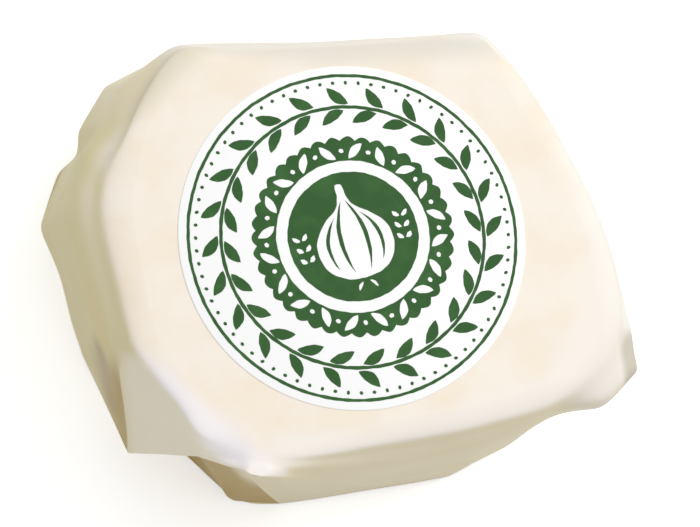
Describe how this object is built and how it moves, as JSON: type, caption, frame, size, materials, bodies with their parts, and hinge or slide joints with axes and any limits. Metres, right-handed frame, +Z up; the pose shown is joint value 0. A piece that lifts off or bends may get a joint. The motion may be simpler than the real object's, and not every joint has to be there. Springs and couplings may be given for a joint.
{
  "type": "wrapped butter roll",
  "caption": "Lump of butter folded into parchment paper, lying on its folded side, with a round paper label on its face.",
  "frame": {"origin": "middle of the pack's outline, on the surface that it rests on", "axes": "+X along the longer side, +Y along the shorter side away from the near wall, +Z up out of the labelled face"},
  "size_m": [0.0948, 0.0874, 0.0432],
  "materials": {
    "parchment": "matt vegetable parchment over butter",
    "label_paper": "satin coated label paper",
    "label_ink": "flat dark green printing ink"
  },
  "bodies": {
    "root": {"wrapped_butter": "parchment", "round_label": "label_paper"}
  },
  "joints": []
}
